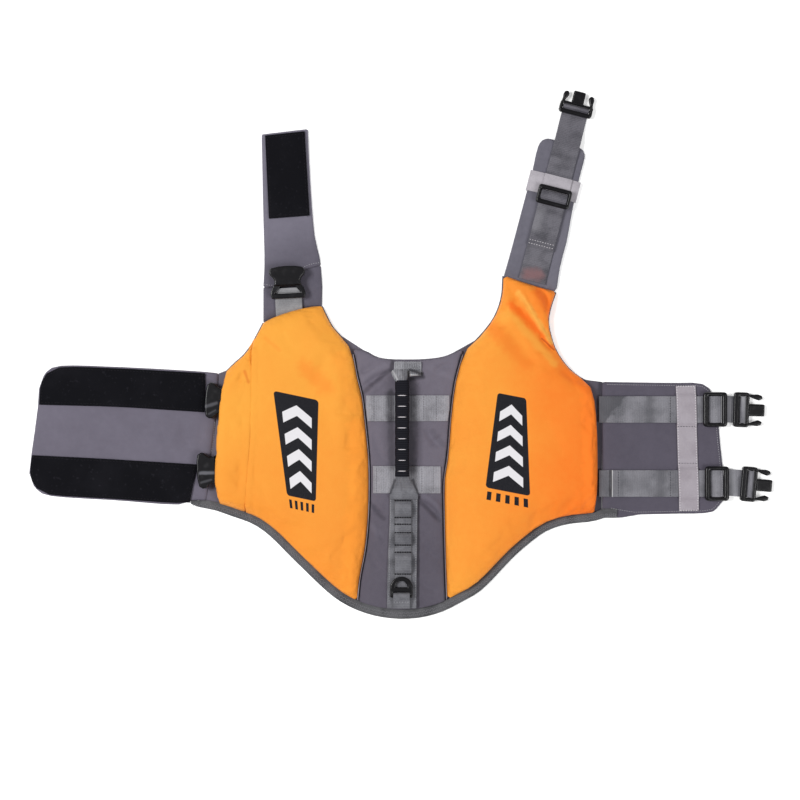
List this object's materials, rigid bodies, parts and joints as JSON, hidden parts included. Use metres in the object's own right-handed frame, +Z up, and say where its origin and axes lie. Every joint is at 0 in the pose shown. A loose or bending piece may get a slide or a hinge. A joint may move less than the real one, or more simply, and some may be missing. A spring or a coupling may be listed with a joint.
{
  "type": "dog life jacket laid flat",
  "caption": "Padded dog life jacket, unbuckled and laid flat, with a spine handle, a lead ring, belly wraps and neck straps with side-release buckles.",
  "frame": {"origin": "on the underside of the inner shell, on the spine line between the two cross bands", "axes": "+Z up, away from the surface it lies on; +Y along the spine to the neck straps; +X across the back to the belts with the male buckles"},
  "size_m": [0.6927, 0.4921, 0.0238],
  "materials": {
    "orange_cloth_left": "woven nylon, matt with a slight sheen",
    "orange_cloth_right": "woven nylon, matt with a slight sheen",
    "grey_cloth": "fine woven nylon, matt",
    "grey_binding": "grosgrain tape, matt",
    "grey_webbing": "ribbed nylon webbing, slight sheen",
    "light_tape": "plain light-grey tape, matt",
    "light_elastic": "knitted elastic, matt",
    "hook_and_loop": "black hook-and-loop tape, matt",
    "black_cord": "black woven sleeve, matt",
    "black_plastic": "moulded acetal, satin"
  },
  "bodies": {
    "jacket": {"inner_shell": "grey_cloth", "orange_left_main": "orange_cloth_left", "orange_left_outer": "orange_cloth_left", "orange_right": "orange_cloth_right", "centre_panel": "grey_cloth", "piping_left": "black_cord", "piping_right": "grey_webbing", "hem_binding": "grey_binding", "band_upper": "grey_webbing", "band_lower": "grey_webbing", "handle_strap_upper": "grey_webbing", "handle_grip": "black_cord", "handle_strap_lower": "grey_webbing", "spine_strip": "grey_webbing", "loop_webbing": "grey_webbing", "d_ring_tab": "grey_webbing", "belly_flap_left": "grey_cloth", "flap_tape_upper": "hook_and_loop", "flap_tape_lower": "hook_and_loop", "buckle_female_upper": "black_plastic", "female_tab_upper": "grey_webbing", "buckle_female_lower": "black_plastic", "female_tab_lower": "grey_webbing", "neck_strap_lower": "grey_cloth", "neck_strap_upper": "grey_cloth", "neck_patch": "hook_and_loop", "buckle_female_neck": "black_plastic", "neck_female_tab": "grey_webbing", "neck_pad": "grey_cloth", "neck_web_base": "grey_webbing", "neck_web_double": "grey_webbing", "neck_slide": "black_plastic", "neck_web_run": "grey_webbing", "buckle_male_neck": "black_plastic", "neck_elastic": "light_elastic", "belly_panel_right": "grey_cloth", "belt_web_upper": "grey_webbing", "slide_upper": "black_plastic", "belt_run_upper": "grey_webbing", "buckle_male_upper": "black_plastic", "belt_web_lower": "grey_webbing", "slide_lower": "black_plastic", "belt_run_lower": "grey_webbing", "buckle_male_lower": "black_plastic", "belt_web_end": "grey_webbing", "keeper_strip": "light_tape"},
    "ring": {"d_ring": "black_plastic"}
  },
  "joints": [
    {"name": "ring_turn", "type": "hinge", "parent": "jacket", "child": "ring", "pos_m": [-0.0014, -0.1076, 0.01223], "axis": [1, 0, 0], "range_deg": [0, 120]}
  ]
}
